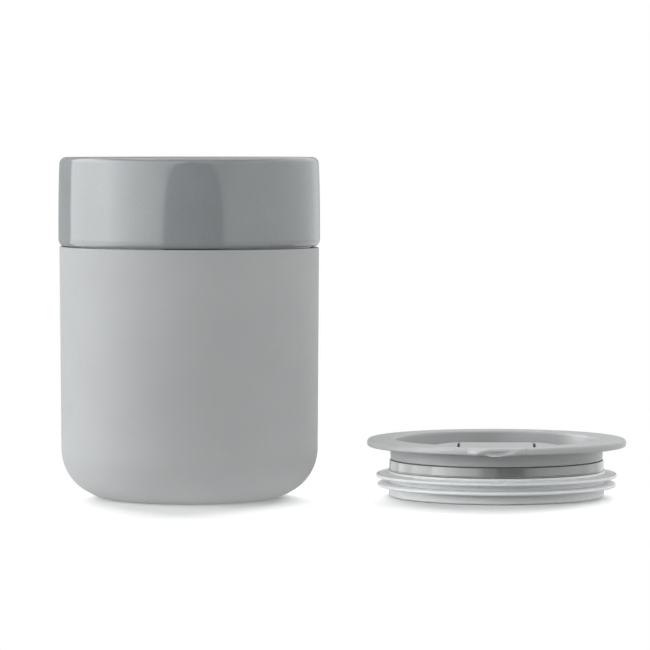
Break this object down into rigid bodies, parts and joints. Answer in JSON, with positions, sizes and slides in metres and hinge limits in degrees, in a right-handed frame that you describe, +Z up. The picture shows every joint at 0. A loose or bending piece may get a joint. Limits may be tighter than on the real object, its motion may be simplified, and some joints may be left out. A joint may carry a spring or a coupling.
{
  "type": "sleeved ceramic travel cup",
  "caption": "Straight-sided glazed ceramic cup in a matte silicone sleeve with a rounded base, and its press-in drinking lid with a finned gasket and a flip-up sip flap lying beside it.",
  "frame": {"origin": "centre of the cup's underside, on the surface that it stands on", "axes": "+Z up along the cup's axis, +X towards the lid that lies beside the cup, -Y the front, where the lid's sip flap points"},
  "size_m": [0.1869, 0.0946, 0.112],
  "materials": {
    "glaze": "glossy grey glaze",
    "sleeve_silicone": "matte light grey silicone",
    "cover_plastic": "fine satin grey plastic",
    "plug_plastic": "polished grey plastic",
    "gasket_silicone": "translucent pale silicone",
    "flap_plastic": "fine satin grey plastic",
    "seal_silicone": "soft pale silicone"
  },
  "bodies": {
    "sleeve": {"silicone_sleeve": "sleeve_silicone"},
    "cup": {"ceramic_cup": "glaze"},
    "lid": {"lid_cover": "cover_plastic", "lid_plug": "plug_plastic", "lid_gasket": "gasket_silicone"},
    "flap": {"sip_flap": "flap_plastic", "flap_seal": "seal_silicone"}
  },
  "joints": [
    {"name": "cup_lift", "type": "slide", "parent": "sleeve", "child": "cup", "axis": [0, 0, 1], "range_m": [0, 0.085]},
    {"name": "lid_lift", "type": "slide", "parent": "sleeve", "child": "lid", "axis": [0, 0, 1], "range_m": [0, 0.12]},
    {"name": "flap_hinge", "type": "hinge", "parent": "lid", "child": "flap", "pos_m": [0.1011, -0.0107, 0.017], "axis": [-1, 0, 0], "range_deg": [0, 170]}
  ]
}
